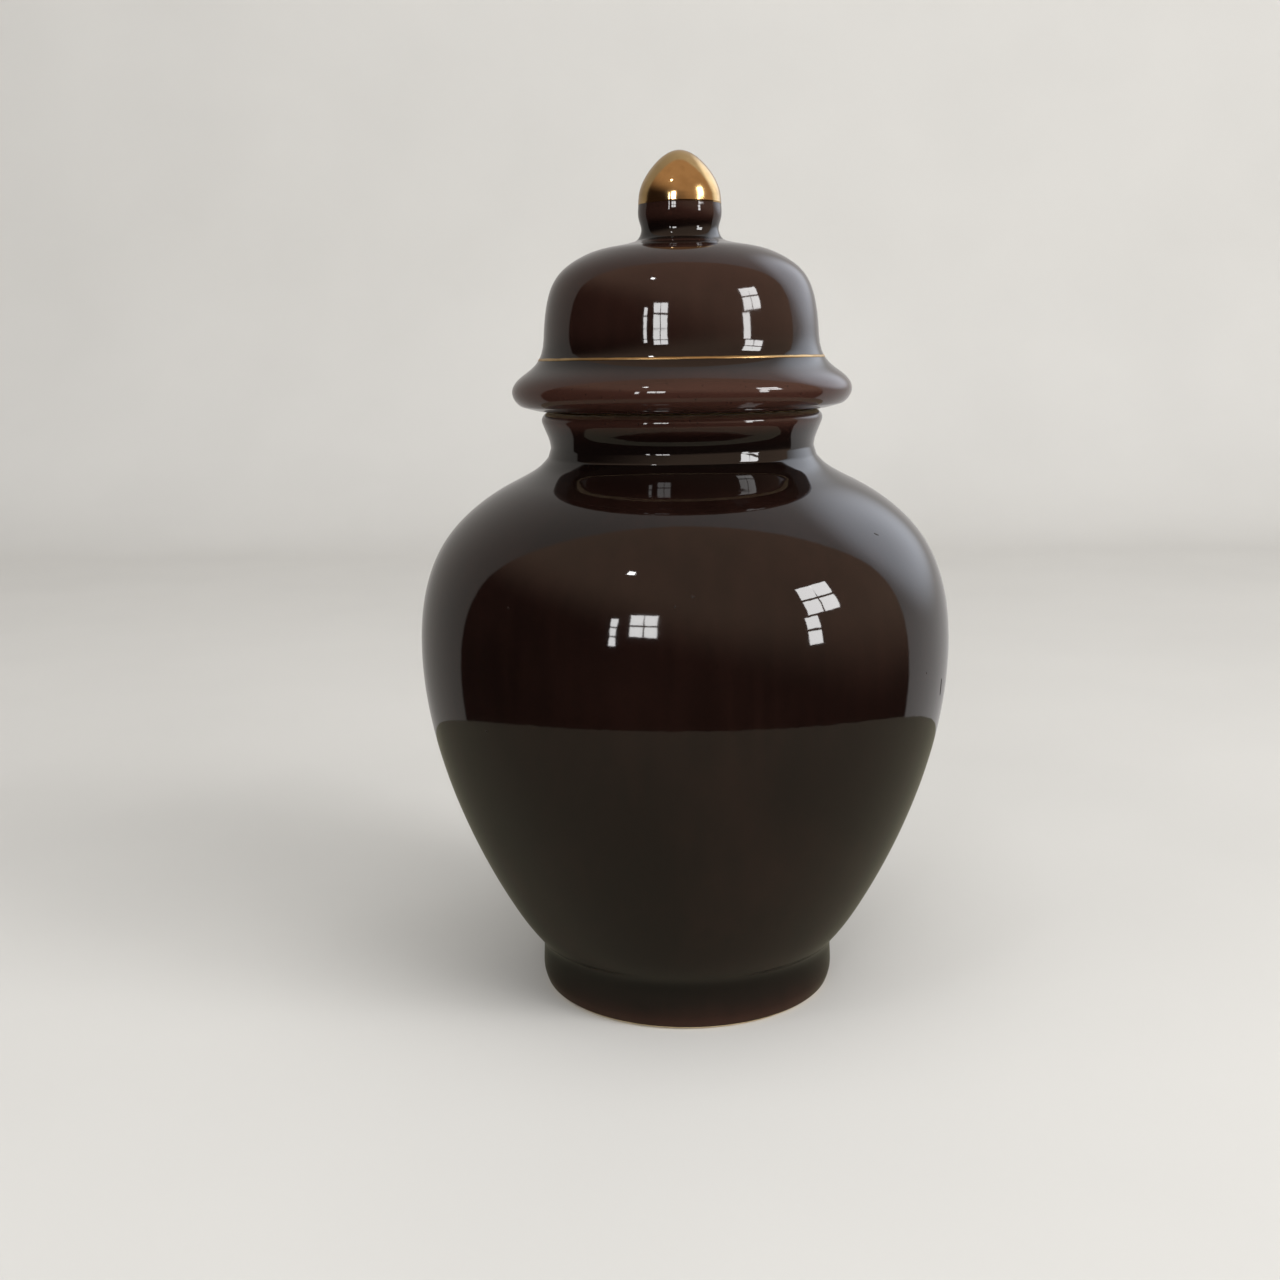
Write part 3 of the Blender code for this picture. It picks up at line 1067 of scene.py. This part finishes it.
class GINGER_JAR_OT_studio(bpy.types.Operator):
    """Set up the sweep, the lights and the camera"""

    bl_idname = "ginger_jar.studio"
    bl_label = "Studio"
    bl_options = {"REGISTER", "UNDO"}

    def execute(self, context):
        self.sweep(context)
        self.surroundings(context)
        self.lights(context)
        self.camera(context)
        context.scene.view_settings.view_transform = "Standard"
        return {"FINISHED"}

    def sweep(self, context):
        """The floor, curving up into a backdrop, and the round of it that the glaze mirrors as a table."""
        half_width, front, back, top = 6.0, -6.0, 1.05, 3.0
        bend, steps = 0.25, 12
        line = [(front, 0.0)]
        for i in range(steps + 1):
            angle = math.radians(90 * i / steps)
            line.append((back - bend + bend * math.sin(angle), bend - bend * math.cos(angle)))
        line.append((back, top))
        points = [(side * half_width, y, z) for y, z in line for side in (-1, 1)]
        faces = [(2 * i, 2 * i + 1, 2 * i + 3, 2 * i + 2) for i in range(len(line) - 1)]
        studio = context.scene.ginger_jar_studio
        sweep = self.board(context, "sweep", points, faces, studio.paper)
        sweep.visible_glossy = False

        around, lift = 96, 0.02 * MM
        angles = [math.tau * i / around for i in range(around)]
        edge = [(studio.table * math.cos(angle), studio.table * math.sin(angle), lift) for angle in angles]
        table = self.board(context, "table", edge, [tuple(range(around))], studio.mirrored)
        table.visible_camera = False
        table.visible_diffuse = False
        table.visible_shadow = False

    def board(self, context, name, points, faces, paint):
        """A painted board of the stage."""
        mesh = bpy.data.meshes.new(name)
        mesh.from_pydata(points, [], faces)
        mesh.shade_smooth()
        mesh.materials.append(board_material(f"Matt painted board, {name}", paint))
        board = bpy.data.objects.new(name, mesh)
        context.scene.collection.objects.link(board)
        return board

    def surroundings(self, context):
        """A pale room that lights softly. In the glaze it shows a dim front below a mild ceiling, and a pale
        wall behind, brighter to the right and glowing round one place."""
        world = bpy.data.worlds.new("Studio")
        context.scene.world = world
        world.use_nodes = True
        tree = world.node_tree
        tree.nodes.clear()
        path = add(tree, "ShaderNodeLightPath")
        way = add(tree, "ShaderNodeTexCoord").outputs["Generated"]
        part = add(tree, "ShaderNodeSeparateXYZ", {0: way})
        x, y, z = (part.outputs[axis] for axis in "XYZ")

        # The ceiling comes lower on the right, and the wall leans back as it rises
        rise = add(tree, "ShaderNodeMath", {0: x, 1: 0.35, 2: z}, operation="MULTIPLY_ADD")
        depth = add(tree, "ShaderNodeMath", {0: z, 1: 0.17, 2: y}, operation="MULTIPLY_ADD")
        glow_way = add(tree, "ShaderNodeVectorMath", {0: way, 1: direction(132, 25)}, operation="DOT_PRODUCT")
        shares = {}
        for name, value, low, high, ease in (
            ("up", rise, 0.0, 0.6, "SMOOTHSTEP"),
            ("rightward", x, -0.8, 0.6, "SMOOTHSTEP"),
            ("behind", depth, 0.27, 0.30, "SMOOTHSTEP"),
            ("glowing", glow_way.outputs["Value"], 0.86, 1.0, "SMOOTHERSTEP"),
        ):
            reach = {"Value": value, "From Min": low, "From Max": high}
            shares[name] = add(tree, "ShaderNodeMapRange", reach, interpolation_type=ease)
        tones = {
            "dim": linear("#2C221F"),
            "ceiling": linear("#BFA38D"),
            "left": linear("#A09C96"),
            "right": linear("#D0CDCB"),
            "glow": (1.7, 1.78, 1.95, 1.0),
        }
        for name, share, near, far in (
            ("front", "up", "dim", "ceiling"),
            ("wall", "rightward", "left", "right"),
            ("back", "glowing", "wall", "glow"),
            ("room", "behind", "front", "back"),
        ):
            blend = {"Factor": shares[share], "A": tones[near], "B": tones[far]}
            tones[name] = add(tree, "ShaderNodeMix", blend, data_type="RGBA").outputs["Result"]

        seen = add(tree, "ShaderNodeBackground", {"Color": linear("#DCD7CE"), "Strength": 1.0})
        lit = add(tree, "ShaderNodeBackground", {"Color": linear("#E4E3E1"), "Strength": 0.36})
        mirrored_room = add(tree, "ShaderNodeBackground", {"Color": tones["room"], "Strength": 1.0})
        soft = add(tree, "ShaderNodeMixShader", {0: path.outputs["Is Glossy Ray"], 1: lit, 2: mirrored_room})
        whole = add(tree, "ShaderNodeMixShader", {0: path.outputs["Is Camera Ray"], 1: soft, 2: seen})
        add(tree, "ShaderNodeOutputWorld", {0: whole})

    def lamp(self, context, name, way, distance, size, radiance, in_reflections):
        """A square or oblong light that faces the middle of the jar, with the same radiance all over."""
        light = bpy.data.lights.new(name, "AREA")
        light.shape = "RECTANGLE"
        light.size, light.size_y = size
        light.energy = radiance * math.pi * size[0] * size[1]
        lamp = bpy.data.objects.new(name, light)
        middle_of_jar = Vector((0, 0, 0.1))
        lamp.location = middle_of_jar + way * distance
        lamp.rotation_euler = way.to_track_quat("Z", "Y").to_euler()
        lamp.visible_camera = False
        lamp.visible_glossy = in_reflections
        context.scene.collection.objects.link(lamp)

    def lights(self, context):
        """Broad soft light from above and both sides, and the small panes that show in the glaze."""
        distance = 1.7
        for name, azimuth, elevation, side, radiance in FILLS:
            way = direction(azimuth, elevation)
            self.lamp(context, name, way, distance, (side, side), radiance, in_reflections=False)
        for name, azimuth, elevation, wide, tall, columns, rows, radiance in WINDOWS:
            self.window(context, name, (azimuth, elevation), (wide, tall), (columns, rows), radiance)

    def window(self, context, name, middle, spread, panes, radiance):
        """A window of separate panes. Its middle and its spread are in degrees, as the jar sees it."""
        distance, bar = 1.5, 0.14
        halves = [math.radians(across / count * (1 - bar) / 2) for across, count in zip(spread, panes)]
        size = [2 * distance * math.tan(half) for half in halves]
        for column in range(panes[0]):
            for row in range(panes[1]):
                azimuth = middle[0] + spread[0] * ((column + 0.5) / panes[0] - 0.5)
                elevation = middle[1] + spread[1] * ((row + 0.5) / panes[1] - 0.5)
                pane = f"{name}_{column}_{row}"
                way = direction(azimuth, elevation)
                self.lamp(context, pane, way, distance, size, radiance, in_reflections=True)

    def camera(self, context):
        """The camera, a little above the lid's height and close to the jar."""
        studio = context.scene.ginger_jar_studio
        data = bpy.data.cameras.new("camera")
        data.sensor_width = 36.0
        data.lens = studio.lens
        data.clip_start = 0.01
        camera = bpy.data.objects.new("camera", data)
        look = (
            Matrix.Rotation(studio.yaw, 4, "Z")
            @ Matrix.Rotation(math.radians(90) - studio.pitch, 4, "X")
            @ Matrix.Rotation(-studio.roll, 4, "Z")
        )
        camera.matrix_world = Matrix.Translation((0, -studio.distance, studio.height)) @ look
        context.scene.collection.objects.link(camera)
        context.scene.camera = camera


class GINGER_JAR_PT_panel(bpy.types.Panel):
    """Buttons for the jar's pieces and its studio"""

    bl_idname = "GINGER_JAR_PT_panel"
    bl_label = "Ginger jar"
    bl_space_type = "VIEW_3D"
    bl_region_type = "UI"
    bl_category = "Ginger jar"

    def draw(self, context):
        column = self.layout.column(align=True)
        for operator in OPERATORS:
            column.operator(operator.bl_idname)
        for settings in SETTINGS:
            group = getattr(context.scene, settings)
            box = self.layout.box()
            for name in group.bl_rna.properties.keys():
                if name not in ("rna_type", "name"):
                    box.prop(group, name)


SETTINGS = {
    "ginger_jar_turning": TurningSettings,
    "ginger_jar_glaze": GlazeSettings,
    "ginger_jar_gilding": GildingSettings,
    "ginger_jar_clay": ClaySettings,
    "ginger_jar_studio": StudioSettings,
}
OPERATORS = (
    GINGER_JAR_OT_glazed_jar,
    GINGER_JAR_OT_glazed_lid,
    GINGER_JAR_OT_bare_clay,
    GINGER_JAR_OT_finial,
    GINGER_JAR_OT_gilding,
    GINGER_JAR_OT_flaws,
    GINGER_JAR_OT_studio,
)


def register():
    """Registers the settings, the operators and the panel."""
    for name, group in SETTINGS.items():
        bpy.utils.register_class(group)
        setattr(bpy.types.Scene, name, bpy.props.PointerProperty(type=group))
    for operator in OPERATORS:
        bpy.utils.register_class(operator)
    bpy.utils.register_class(GINGER_JAR_PT_panel)


def unregister():
    """Takes all of them away again, last first."""
    bpy.utils.unregister_class(GINGER_JAR_PT_panel)
    for operator in reversed(OPERATORS):
        bpy.utils.unregister_class(operator)
    for name, group in reversed(SETTINGS.items()):
        delattr(bpy.types.Scene, name)
        bpy.utils.unregister_class(group)


def main():
    """Builds every piece and the studio."""
    register()
    for operator in OPERATORS:
        group, name = operator.bl_idname.split(".")
        getattr(getattr(bpy.ops, group), name)()


if __name__ == "__main__":
    main()
